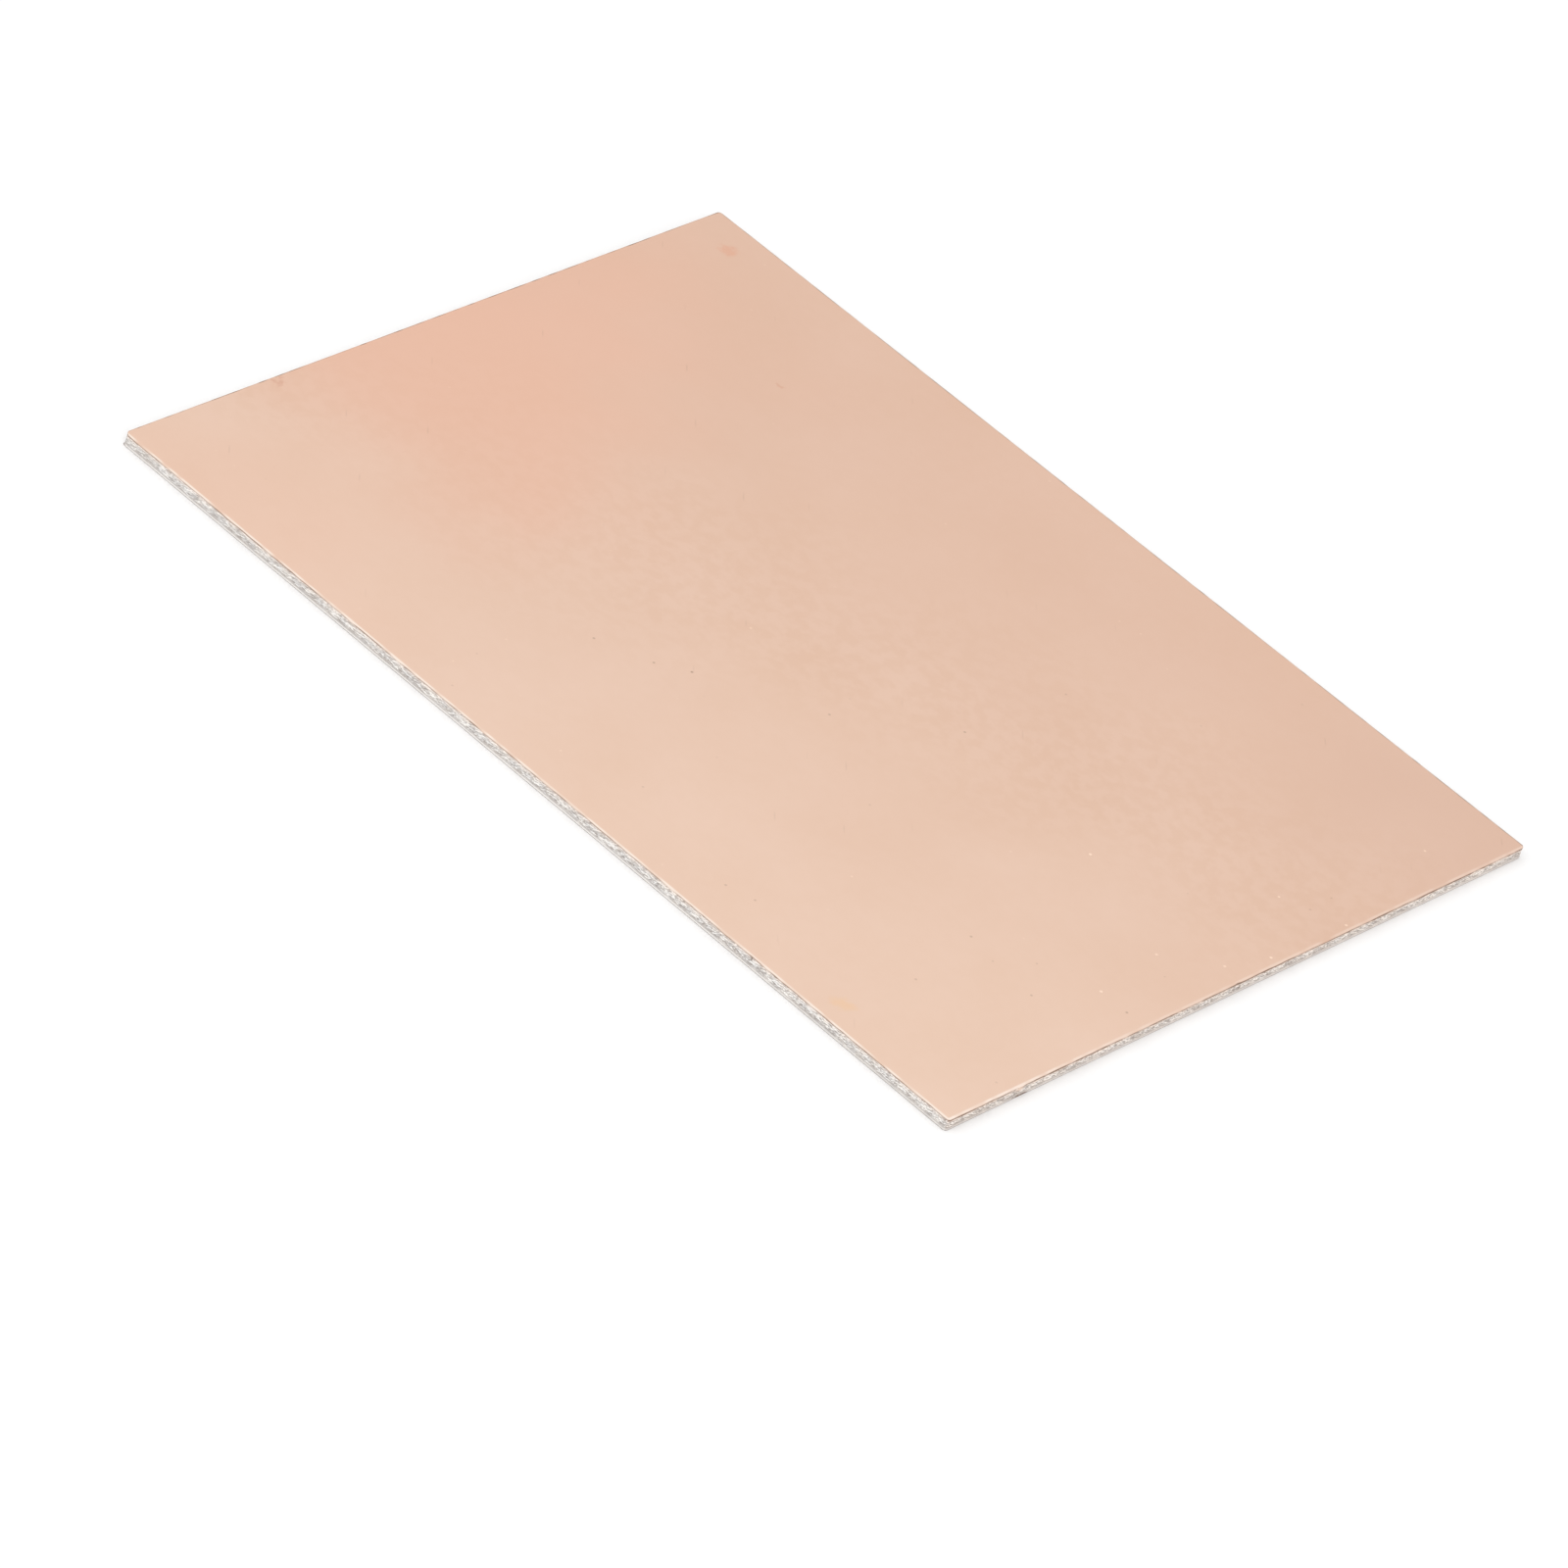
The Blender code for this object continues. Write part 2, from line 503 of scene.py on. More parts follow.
def bonded_height(inset, sag):
    """Height of the face that the copper and the laminate share, which falls away towards the cut."""
    share = max(0.0, (RIM_REACH - inset) / RIM_REACH)
    return CORE_TOP - (0.7 * RIM_DROP + sag) * share**2


def finish_mesh(bm, name, materials, sharp_from):
    """Turns the faces outwards, smooths them up to an angle in degrees and makes the object."""
    bmesh.ops.recalc_face_normals(bm, faces=bm.faces)
    for face in bm.faces:
        face.smooth = True
    mesh = bpy.data.meshes.new(name)
    bm.to_mesh(mesh)
    bm.free()
    mesh.set_sharp_from_angle(angle=math.radians(sharp_from))
    for material in materials:
        mesh.materials.append(material)
    piece = bpy.data.objects.new(name, mesh)
    bpy.context.scene.collection.objects.link(piece)
    return piece


class Tuft(NamedTuple):
    """The torn end of a yarn, a curved oval on the cut edge."""

    place: float  # of its middle, along the cut edge
    height: float  # of its middle
    half_length: float
    half_width: float
    slope: float
    bow: float  # how far its ends are bent up
    white: float


# The tufts are listed by stretches of the edge of this length
TUFT_BIN = 0.001


def slope_of_drag(place, cloth):
    """Slope in which the blade left the torn glass. It rises towards the front right corner on all sides."""
    return cloth.drag_slope if side_of(place)[0] in LONG_SIDES else -cloth.drag_slope


def scatter_tufts(cloth):
    """The torn ends of the yarns that cross the cut, listed by the stretch of the edge that they lie in.

    In the cloth a crossing yarn lies under every crest and over every trough of the yarns along the edge."""
    dice = random.Random(5)
    tufts = defaultdict(list)
    spacing = cloth.crest_pitch / 2
    for ply in range(round(CORE_TOP / cloth.ply_pitch)):
        middle = (ply + 0.5) * cloth.ply_pitch
        shift = dice.random()
        for number in range(round(EDGE_LENGTH / spacing)):
            place = (number + shift + dice.uniform(-0.3, 0.3)) * spacing
            side = 1 if number % 2 else -1
            tuft = Tuft(
                place=place,
                height=middle + cloth.yarn_swing * (side + dice.uniform(-0.5, 0.5)),
                half_length=dice.uniform(0.00020, 0.00065),
                half_width=dice.uniform(0.000035, 0.000065),
                slope=slope_of_drag(place, cloth) * dice.uniform(-1.2, 2.0),
                bow=dice.uniform(-0.00016, 0.00016),
                white=0.15 + 1.3 * dice.random() ** 1.6,
            )
            tufts[int(place / TUFT_BIN)].append(tuft)
    return tufts


def glass(place, height, tufts):
    """How far torn glass stands out of the resin at a place on the cut edge, and how white it is.

    The first is 0 to 1. The second can be more than 1 in the whitest tufts."""
    proud = white = 0.0
    stretch = int(place / TUFT_BIN)
    for tuft in tufts[stretch - 1] + tufts[stretch] + tufts[stretch + 1]:
        off = place - tuft.place
        along = off / tuft.half_length
        if abs(along) < 1:
            across = (height - tuft.height - tuft.slope * off - tuft.bow * along**2) / tuft.half_width
            swell = 1 - along**4 - across**2
            if swell > 0:
                proud = max(proud, math.sqrt(swell))
                white = max(white, tuft.white * math.sqrt(swell))
    return proud, white


class BuildLaminate(bpy.types.Operator):
    """Models the laminate: its bare underside and the sheared edge with its torn glass yarns"""

    bl_idname = "board.build_laminate"
    bl_label = "Laminate"
    bl_options = {"REGISTER", "UNDO"}

    def execute(self, context):
        cloth = context.scene.board_laminate
        waviness = context.scene.board_copper.rim_waviness
        tufts = scatter_tufts(cloth)
        bm = bmesh.new()
        ring = draw_blank(bm, cloth.column_width, cell=0.0025)
        layers = add_layers(bm, LAMINATE_MARKS)
        for point in bm.verts:
            point[layers["land"]] = 1.0
            if point.is_boundary:
                set_point(point, ARRIS + FLAT_RING, 0.0)
        ring, points = draw_row(bm, ring)
        for point in points:
            set_point(point, ARRIS, 0.0)
            point[layers["land"]] = 0.0

        heights = list(LAND_ROWS)
        while heights[-1] < SHOULDER - 2 * LAST_ROW_GAP:
            heights.append(heights[-1] + cloth.row_height)
        heights.append(SHOULDER - LAST_ROW_GAP)
        for height in heights:
            ring, points = draw_row(bm, ring)
            for point in points:
                self.shape_wall(point, height, cloth, tufts, layers)
        last_row = SHOULDER_ROWS - 1
        for row in range(SHOULDER_ROWS):
            inset = SHOULDER_INSET + (RIM_REACH - SHOULDER_INSET) * row / last_row
            ring, points = draw_row(bm, ring)
            for point in points:
                place = point[layers["place"]]
                back = inset + hollow(SCALLOPS, place, CORE_TOP)[0] * (1 - row / last_row)
                set_point(point, back, bonded_height(back, rim_sag(place, waviness)))
                point[layers["bond_line_and_shade"]] = 1.0
                point[layers["glass_white"]] = 0.5
                point[layers["land"]] = 0.0
        bmesh.ops.edgeloop_fill(bm, edges=ring)
        piece = finish_mesh(bm, "laminate_body", [laminate_material(cloth)], sharp_from=60)
        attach(piece, "root")
        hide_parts("laminate_core")
        return {"FINISHED"}

    def shape_wall(self, point, height, cloth, tufts, layers):
        """Sets how far a point of the cut edge lies back, and what shows there."""
        place = point[layers["place"]]
        side, along = side_of(place)
        side_length = BOARD_LENGTH if side in LONG_SIDES else BOARD_WIDTH
        cut = CUTS[side]
        proud, white = glass(place, height, tufts)
        drag = height - slope_of_drag(place, cloth) * place
        fray = patches(place, drag, length=0.0005, width=0.00008, seed=5.5)
        clump = patches(place, drag, length=0.0011, width=0.0004, seed=7.5)

        # Above the land the laminate is torn back, less so in the upper ply
        land_top = cloth.land_height + 0.00002 * ripple(place, length=0.006, seed=6.5)
        torn = ease(land_top - 0.00002, land_top + 0.00003, height)
        near_top = ease(CORE_TOP - 0.00045, CORE_TOP - 0.00025, height)
        depth = cloth.torn_depth * (1 - 0.5 * near_top)
        wall = depth * (1 - 0.8 * proud) - FINE_RELIEF * fray - FINE_RELIEF * clump
        smooth = 0.000004 * patches(place, height, length=0.0007, width=0.0004, seed=9.5)
        undercut = ease(SHOULDER - 0.00009, SHOULDER - 0.00003, height)
        groove = ease(0.00006, 0.0, abs(height - land_top - 0.00007))
        inset = torn * wall + (1 - torn) * max(0.0, smooth) + FINE_RELIEF * undercut + FINE_RELIEF * groove
        scallop, _ = hollow(SCALLOPS, place, height)
        split, crack_shade = hollow(CRACKS, place, height)
        set_point(point, max(0.0, inset, scallop) + split, height)

        # The torn part is whiter towards its top and along each side. Its grain starts above the land.
        grain = cut.grain * ease(0.00015, 0.00048, height)
        if side == "front":
            grain *= 0.75 + 0.5 * along / side_length
        climb = 0.6 * ease(0.00038, 0.00060, height) + 0.4 * ease(0.0007, 0.0010, height)
        level = cut.tone + cut.rise * climb
        # Painted shade: the groove above the land is darkened
        level += grain * (1.1 * (white - 0.25) + 0.45 * fray) + 0.15 * clump - cut.land * 0.25 * groove
        level += 0.08 * (along / side_length - 0.55)
        point[layers["glass_white"]] = max(0.0, min(1.0, level)) * ease(0.0, 0.00006, height)
        point[layers["grain"]] = grain
        point[layers["drag"]] = drag
        # Painted light: the copper tint also stands for warm light bounced from the copper, most of it next
        # to the foil
        point[layers["dust_and_bounce"]] = cut.dust_and_bounce + 0.35 * (1 + cut.dust_and_bounce) * near_top

        # The blade polished the middle of the land, on the front side less towards its right end
        polish = cut.land * ease(0.00005, 0.00009, height) * ease(0.00021, 0.00013, height)
        if side == "front":
            polish *= 1 - 0.65 * ease(0.070, 0.095, along)
        point[layers["land"]] = (1 - torn) * polish

        # The brown treatment with painted shade under the rim, the smear of copper, and painted shade in the
        # cracks and along the lowest rows above the arris
        line_foot = SHOULDER - cut.bond_reach
        wander = 0.00003 * ripple(place, length=0.0013, seed=11.5)
        line = ease(line_foot - 0.00005, line_foot, height + wander)
        point[layers["bond_line_and_shade"]] = line * bond_and_shade_shows(place)
        point[layers["smear"]] = 0.8 * smeared(place) * ease(0.00045, 0.00085, height)
        ragged = 0.7 + 1.2 * patches(place, height, length=0.0003, width=0.00008, seed=17.5)
        # Painted shade along the lowest rows above the arris, and in the cracks
        arris_shade = 0.6 * ease(0.00008, 0.00004, height)
        point[layers["crack_shade"]] = max(arris_shade, min(1.0, 1.5 * crack_shade * ragged))


def laminate_material(cloth):
    """Glass cloth and epoxy, pressed and sheared.

    The cut edge is torn, so it is matt, with white broken glass in greyer resin. The blade rubbed the land
    at the bottom smooth and pale. The underside has the dull gloss of the press plate, and the plain weave
    of the cloth shows faintly through its resin skin."""
    material = bpy.data.materials.new("Sheared glass-epoxy laminate")
    material.use_nodes = True
    tree = material.node_tree
    shader = tree.nodes["Principled BSDF"]
    place = add_node(tree, "ShaderNodeTexCoord").outputs["Object"]
    marks = {
        name: add_node(tree, "ShaderNodeAttribute", attribute_name=name).outputs["Fac"]
        for name in ("place", *LAMINATE_MARKS)
    }

    # Filaments are 9 micrometres thick, so they are drawn coarser, in strands about 0.09 mm wide that lie
    # along the drag of the blade
    strand_place = add_node(tree, "ShaderNodeCombineXYZ")
    for axis, (name, pitch) in enumerate((("place", 0.00028), ("drag", 0.00009))):
        scaled = add_node(tree, "ShaderNodeMath", {0: marks[name], 1: 1 / pitch}, operation="MULTIPLY")
        tree.links.new(scaled.outputs[0], strand_place.inputs[axis])
    strands = add_node(
        tree,
        "ShaderNodeTexNoise",
        {"Vector": strand_place.outputs[0], "Scale": 1.0, "Detail": 2.0, "Roughness": 0.6},
    ).outputs["Fac"]
    contrast = add_node(
        tree, "ShaderNodeMapRange", {0: strands, 1: 0.3, 2: 0.7, 3: -0.45, 4: 0.45}
    ).outputs[0]
    white = add_node(
        tree,
        "ShaderNodeMath",
        {0: contrast, 1: marks["grain"], 2: marks["glass_white"]},
        operation="MULTIPLY_ADD",
        use_clamp=True,
    ).outputs[0]
    colour = add_node(
        tree,
        "ShaderNodeMix",
        {MIX_SHARE: white, MIX_FIRST: opaque(cloth.resin_colour), MIX_SECOND: opaque(cloth.glass_colour)},
        data_type="RGBA",
    ).outputs[MIX_RESULT]

    # The resin is cooler in patches, and the torn glass took up copper dust, most of it next to the foil,
    # which also stands for painted warm light bounced from the copper.
    # Over these lie the polished land, the bond line with its painted shade, the smear of copper, and the
    # painted shade of the cracks and the arris.
    tint = add_node(
        tree, "ShaderNodeTexNoise", {"Vector": place, "Scale": 1 / 0.0007, "Detail": 1.0}
    ).outputs["Fac"]
    cool = add_node(tree, "ShaderNodeMapRange", {0: tint, 1: 0.42, 2: 0.60, 3: 0.0, 4: 0.6}).outputs[0]
    for share, over, blend in (
        (cool, cloth.cool_tint, "MULTIPLY"),
        (marks["dust_and_bounce"], cloth.copper_dust_and_bounce_tint, "MULTIPLY"),
        (marks["land"], cloth.land_colour, "MIX"),
        (marks["bond_line_and_shade"], cloth.bond_and_shade_colour, "MIX"),
        (marks["smear"], cloth.smear_colour, "MIX"),
        (marks["crack_shade"], cloth.crack_shade_colour, "MIX"),
    ):
        colour = add_node(
            tree,
            "ShaderNodeMix",
            {MIX_SHARE: share, MIX_FIRST: colour, MIX_SECOND: opaque(over)},
            data_type="RGBA",
            blend_type=blend,
        ).outputs[MIX_RESULT]

    # Plain weave of the underside: warp and weft each show in every other square of the cloth
    apart = add_node(tree, "ShaderNodeSeparateXYZ", {0: place})
    waves = []
    for axis in ("X", "Y"):
        turned = add_node(
            tree,
            "ShaderNodeMath",
            {0: apart.outputs[axis], 1: math.tau / cloth.crest_pitch},
            operation="MULTIPLY",
        ).outputs[0]
        waves.append(add_node(tree, "ShaderNodeMath", {0: turned}, operation="SINE").outputs[0])
    weave = add_node(tree, "ShaderNodeMath", {0: waves[0], 1: waves[1]}, operation="MULTIPLY").outputs[0]
    woven = add_node(tree, "ShaderNodeMapRange", {0: weave, 1: -1.0, 2: 1.0, 3: 0.0, 4: 1.0}).outputs[0]
    under_colour = add_node(
        tree,
        "ShaderNodeMix",
        {
            MIX_SHARE: woven,
            MIX_FIRST: opaque([c * 0.93 for c in cloth.underside_colour]),
            MIX_SECOND: opaque([min(1.0, c * 1.04) for c in cloth.underside_colour]),
        },
        data_type="RGBA",
    ).outputs[MIX_RESULT]
    normal = add_node(tree, "ShaderNodeNewGeometry").outputs["Normal"]
    facing = add_node(tree, "ShaderNodeSeparateXYZ", {0: normal}).outputs["Z"]
    under = add_node(tree, "ShaderNodeMapRange", {0: facing, 1: -0.9, 2: -0.99, 3: 0.0, 4: 1.0}).outputs[0]
    colour = add_node(
        tree,
        "ShaderNodeMix",
        {MIX_SHARE: under, MIX_FIRST: colour, MIX_SECOND: under_colour},
        data_type="RGBA",
    ).outputs[MIX_RESULT]

    rough = add_node(
        tree, "ShaderNodeMapRange", {0: marks["land"], 1: 0.0, 2: 1.0, 3: 0.65, 4: 0.42}
    ).outputs[0]
    bump = add_node(
        tree, "ShaderNodeBump", {"Strength": 0.5, "Distance": 0.00001, "Height": strands}
    ).outputs["Normal"]
    tree.links.new(colour, shader.inputs["Base Color"])
    tree.links.new(rough, shader.inputs["Roughness"])
    tree.links.new(bump, shader.inputs["Normal"])
    shader.inputs["IOR"].default_value = 1.55
    return material


class BuildCopper(bpy.types.Operator):
    """Models the copper foil: its satin face, the rim rolled over the cut, and the treated side below"""

    bl_idname = "board.build_copper"
    bl_label = "Copper foil"
    bl_options = {"REGISTER", "UNDO"}

    def execute(self, context):
        foil = context.scene.board_copper
        bm = bmesh.new()
        ring = draw_blank(bm, foil.column_width, cell=0.001)
        layers = add_layers(bm, ("burnished", "burr_and_shade"))
        for point in bm.verts:
            point.co.z = TOP
            if point.is_boundary:
                set_point(point, RIM_REACH + FLAT_RING, TOP)
        insets = [RIM_REACH * (1 - step / foil.rim_rows) for step in range(foil.rim_rows + 1)]
        for inset in insets:
            ring, points = draw_row(bm, ring)
            self.set_ring(points, inset, FOIL_THICKNESS, layers, foil)
        for inset in reversed(insets):
            ring, points = draw_row(bm, ring)
            self.set_ring(points, inset, 0.0, layers, foil)
        bmesh.ops.edgeloop_fill(bm, edges=ring)
        bmesh.ops.recalc_face_normals(bm, faces=bm.faces)
        for face in bm.faces:
            face.material_index = 1 if face.normal.z < -0.5 else 0
        materials = [copper_material(foil), treatment_material(foil)]
        piece = finish_mesh(bm, "copper_skin", materials, sharp_from=35)
        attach(piece, "root")
        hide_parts("copper_foil")
        return {"FINISHED"}

    def set_ring(self, points, inset, above, layers, foil):
        """Sets a ring of the foil, so far above its bonded face."""
        outer = 1 - inset / RIM_REACH
        for point in points:
            place = point[layers["place"]]
            back = inset + outer * hollow(SCALLOPS, place, CORE_TOP)[0]
            set_point(point, back, bonded_height(inset, rim_sag(place, foil.rim_waviness)) + above)
            cut = CUTS[side_of(place)[0]]
            # The rim's burnish and painted highlight are as bright on all sides as on the front one next to
            # the front right corner
            near_corner = ease(0.028, 0.0, abs(place - RIGHT_START))
            burnish_and_highlight = cut.burnish_and_highlight + (1 - cut.burnish_and_highlight) * near_corner
            rim_sparkle = 0.9 + 1.1 * ripple(place, length=0.0010, seed=15.5)
            # The burnished mark carries the rim's painted highlight as well as its burnish
            point[layers["burnished"]] = max(0.0, min(1.0, rim_sparkle)) * burnish_and_highlight * ease(-0.3, 0.2, outer)
            # Painted shade, with the smeared treatment, darkens the outermost part of the rim
            point[layers["burr_and_shade"]] = ease(cut.burr_and_shade + 0.00004, cut.burr_and_shade, inset) * bond_and_shade_shows(place)


def stain(tree, place, colour, stain_colour, centre, radius, soft, strength):
    """Lays a round patch with a soft edge over a colour, with its centre and radius in metres."""
    distance = add_node(
        tree, "ShaderNodeVectorMath", {0: place, 1: (*centre, CORE_TOP)}, operation="DISTANCE"
    ).outputs["Value"]
    share = add_node(
        tree,
        "ShaderNodeMapRange",
        {0: distance, 1: radius * (1 - soft), 2: radius, 3: strength, 4: 0.0},
        interpolation_type="SMOOTHERSTEP",
    ).outputs[0]
    return add_node(
        tree,
        "ShaderNodeMix",
        {MIX_SHARE: share, MIX_FIRST: colour, MIX_SECOND: opaque(stain_colour)},
        data_type="RGBA",
    ).outputs[MIX_RESULT]


def bend(tree, place, noise_colour, reach):
    """Shifts a place by the red and green of a noise, by up to half the reach in metres."""
    off = add_node(
        tree, "ShaderNodeVectorMath", {0: noise_colour, 1: (0.5, 0.5, 0.5)}, operation="SUBTRACT"
    ).outputs[0]
    return add_node(
        tree,
        "ShaderNodeVectorMath",
        {0: off, 1: (reach, reach, 0.0), 2: place},
        operation="MULTIPLY_ADD",
    ).outputs[0]


def copper_material(foil):
    """Electro-deposited copper foil with a clear protective film, pressed against a satin plate.

    That gives a soft satin sheen without a clear reflection. The film tints the copper in wide clouds, paler
    or pinker, with a few specks of oxide."""
    material = bpy.data.materials.new("Satin electro-deposited copper")
    material.use_nodes = True
    tree = material.node_tree
    shader = tree.nodes["Principled BSDF"]
    place = add_node(tree, "ShaderNodeTexCoord").outputs["Object"]

    # The copper is painted paler towards the front, a painted sheen of reflected light, and the stir of the
    # noise bends all wide changes out of line
    stir = add_node(
        tree, "ShaderNodeTexNoise", {"Vector": place, "Scale": 1 / 0.02, "Detail": 2.0, "Roughness": 0.5}
    ).outputs["Color"]
    bent = bend(tree, place, stir, 0.024)
    apart = add_node(tree, "ShaderNodeSeparateXYZ", {0: bent})
    back = add_node(
        tree,
        "ShaderNodeMath",
        {0: apart.outputs["X"], 1: -0.24, 2: apart.outputs["Y"]},
        operation="MULTIPLY_ADD",
    ).outputs[0]
    pale = add_node(tree, "ShaderNodeMapRange", {0: back, 1: 0.026, 2: -0.049, 3: 0.0, 4: 1.0}).outputs[0]
    colour = add_node(
        tree,
        "ShaderNodeMix",
        {MIX_SHARE: pale, MIX_FIRST: opaque(foil.copper_colour), MIX_SECOND: opaque(foil.painted_sheen_colour)},
        data_type="RGBA",
    ).outputs[MIX_RESULT]
    clouds = add_node(
        tree, "ShaderNodeTexNoise", {"Vector": place, "Scale": 1 / 0.016, "Detail": 3.0, "Roughness": 0.5}
    ).outputs["Fac"]
    film = add_node(tree, "ShaderNodeMapRange", {0: clouds, 1: 0.35, 2: 0.65, 3: 0.0, 4: 0.4}).outputs[0]
    # A band across the middle of the board is mottled, as the film dried there in drops
    across = add_node(
        tree,
        "ShaderNodeMath",
        {0: apart.outputs["X"], 1: -0.31, 2: apart.outputs["Y"]},
        operation="MULTIPLY_ADD",
    ).outputs[0]
    off = add_node(tree, "ShaderNodeMath", {0: across}, operation="ABSOLUTE").outputs[0]
    banded = add_node(tree, "ShaderNodeMapRange", {0: off, 1: 0.004, 2: 0.016, 3: 1.0, 4: 0.2}).outputs[0]
    grains = add_node(
        tree, "ShaderNodeTexNoise", {"Vector": place, "Scale": 1 / 0.0014, "Detail": 2.0, "Roughness": 0.6}
    ).outputs["Fac"]
    drops = add_node(tree, "ShaderNodeMapRange", {0: grains, 1: 0.4, 2: 0.6, 3: 0.0, 4: 0.5}).outputs[0]
    mottle = add_node(
        tree, "ShaderNodeMath", {0: drops, 1: banded, 2: film}, operation="MULTIPLY_ADD"
    ).outputs[0]
    colour = add_node(
        tree,
        "ShaderNodeMix",
        {MIX_SHARE: mottle, MIX_FIRST: colour, MIX_SECOND: opaque(foil.film_tint)},
        data_type="RGBA",
        blend_type="MULTIPLY",
    ).outputs[MIX_RESULT]

    # Pinker and darker areas, spots of oxide with ragged outlines, then single specks and pricks in the film
    fret = add_node(
        tree, "ShaderNodeTexNoise", {"Vector": place, "Scale": 1 / 0.0012, "Detail": 2.0, "Roughness": 0.6}
    ).outputs["Color"]
    ragged = bend(tree, place, fret, 0.0022)
    for over, strength, centre, radius, soft, where in (
        (foil.blush_colour, 0.65, (-0.049, 0.004), 0.036, 1.0, bent),
        (foil.blush_colour, 0.35, (-0.034, -0.011), 0.022, 1.0, bent),
        (foil.blush_colour, 0.18, (-0.036, -0.040), 0.026, 1.0, bent),
        (linear("#DFBCA8"), 0.60, (0.050, 0.040), 0.036, 1.0, bent),
        (linear("#E3A081"), 0.40, (-0.0452, 0.0338), 0.0013, 0.8, ragged),
        (linear("#F2C9A0"), 0.50, (0.0352, -0.0348), 0.0014, 0.8, ragged),
        (linear("#D9A185"), 0.40, (-0.0283, 0.0230), 0.0004, 0.7, ragged),
        (linear("#D8A48C"), 0.50, (-0.0492, -0.0195), 0.0006, 0.7, ragged),
    ):
        colour = stain(tree, where, colour, over, centre, radius, soft, strength)
    specks = (
        ((-0.0025, -0.0146), 0.60),
        ((0.0148, 0.0020), 0.40),
        ((0.0479, -0.0130), 0.40),
        ((-0.0050, -0.0168), 0.40),
        ((-0.0099, -0.0193), 0.40),
        ((0.0074, -0.0075), 0.36),
        ((0.0344, -0.0181), 0.34),
        ((0.0423, -0.0190), 0.30),
        ((0.0194, -0.0328), 0.28),
        ((0.0360, -0.0267), 0.25),
    )
    pricks = (
        ((0.0449, -0.0130), 0.9),
        ((0.0318, -0.0001), 0.9),
        ((0.0491, 0.0043), 0.9),
        ((0.0494, 0.0139), 0.7),
        ((0.0479, -0.0004), 0.6),
        ((0.0439, -0.0048), 0.6),
    )
    for marks, over, radius in ((specks, foil.speck_colour, 0.00018), (pricks, foil.dot_colour, 0.00020)):
        for centre, strength in marks:
            colour = stain(tree, place, colour, over, centre, radius, 0.6, strength)

    # Fine dots in the film, about 0.2 mm wide, most of them on the right-hand half of the board
    dots = add_node(tree, "ShaderNodeTexVoronoi", {"Vector": place, "Scale": 1 / 0.0022})
    dot = add_node(
        tree, "ShaderNodeMapRange", {0: dots.outputs["Distance"], 1: 0.03, 2: 0.07, 3: 1.0, 4: 0.0}
    ).outputs[0]
    right = add_node(tree, "ShaderNodeSeparateXYZ", {0: place}).outputs["X"]
    dotted = add_node(
        tree, "ShaderNodeMapRange", {0: right, 1: -0.03, 2: 0.03, 3: 0.25, 4: 1.0}
    ).outputs[0]
    dot = add_node(tree, "ShaderNodeMath", {0: dot, 1: dotted}, operation="MULTIPLY").outputs[0]
    # Faint short scratches in the film, about 0.1 mm wide and 1 mm long, all in one direction from handling
    turned = add_node(
        tree, "ShaderNodeVectorRotate", {"Vector": place, "Angle": math.radians(45)}, rotation_type="Z_AXIS"
    ).outputs[0]
    drawn_out = add_node(
        tree, "ShaderNodeVectorMath", {0: turned, 1: (1 / 0.009, 1 / 0.0011, 0.0)}, operation="MULTIPLY"
    ).outputs[0]
    scratches = add_node(tree, "ShaderNodeTexVoronoi", {"Vector": drawn_out, "Scale": 1.0})
    scratch = add_node(
        tree, "ShaderNodeMapRange", {0: scratches.outputs["Distance"], 1: 0.03, 2: 0.09, 3: 1.0, 4: 0.0}
    ).outputs[0]
    # Each cell of the two patterns has a random red, which decides how strongly its mark shows
    overlays = []
    for cells, mark, low, high, most, over in (
        (dots, dot, 0.65, 0.95, 0.8, foil.dot_colour),
        (dots, dot, 0.20, 0.02, 0.35, foil.speck_colour),
        (scratches, scratch, 0.5, 1.0, 0.14, foil.speck_colour),
    ):
        chance = add_node(tree, "ShaderNodeSeparateXYZ", {0: cells.outputs["Color"]}).outputs["X"]
        shown = add_node(
            tree, "ShaderNodeMapRange", {0: chance, 1: low, 2: high, 3: 0.0, 4: most}
        ).outputs[0]
        share = add_node(tree, "ShaderNodeMath", {0: mark, 1: shown}, operation="MULTIPLY").outputs[0]
        overlays.append((share, over))
    # The shear rubbed the film off the rolled rim and burnished it, and smeared the treatment over the cut.
    # The near-white rim is also a painted highlight, and the brown over the cut also painted shade.
    for name, over in (("burnished", foil.rim_highlight_colour), ("burr_and_shade", foil.burr_and_shade_colour)):
        share = add_node(tree, "ShaderNodeAttribute", attribute_name=name).outputs["Fac"]
        overlays.append((share, over))
    for share, over in overlays:
        colour = add_node(
            tree,
            "ShaderNodeMix",
            {MIX_SHARE: share, MIX_FIRST: colour, MIX_SECOND: opaque(over)},
            data_type="RGBA",
        ).outputs[MIX_RESULT]

    # Grain of the deposited copper, 0.12 mm, drawn coarser than its real few micrometres so that it shows
    grain = add_node(
        tree, "ShaderNodeTexNoise", {"Vector": place, "Scale": 1 / 0.00012, "Detail": 3.0, "Roughness": 0.6}
    ).outputs["Fac"]
    rough = add_node(
        tree,
        "ShaderNodeMapRange",
        {0: grain, 1: 0.3, 2: 0.7, 3: foil.roughness - 0.03, 4: foil.roughness + 0.03},
    ).outputs[0]
    bump = add_node(
        tree, "ShaderNodeBump", {"Strength": 0.25, "Distance": 0.000004, "Height": grain}
    ).outputs["Normal"]
    tree.links.new(colour, shader.inputs["Base Color"])
    tree.links.new(rough, shader.inputs["Roughness"])
    tree.links.new(bump, shader.inputs["Normal"])
    shader.inputs["Metallic"].default_value = 1.0
    return material


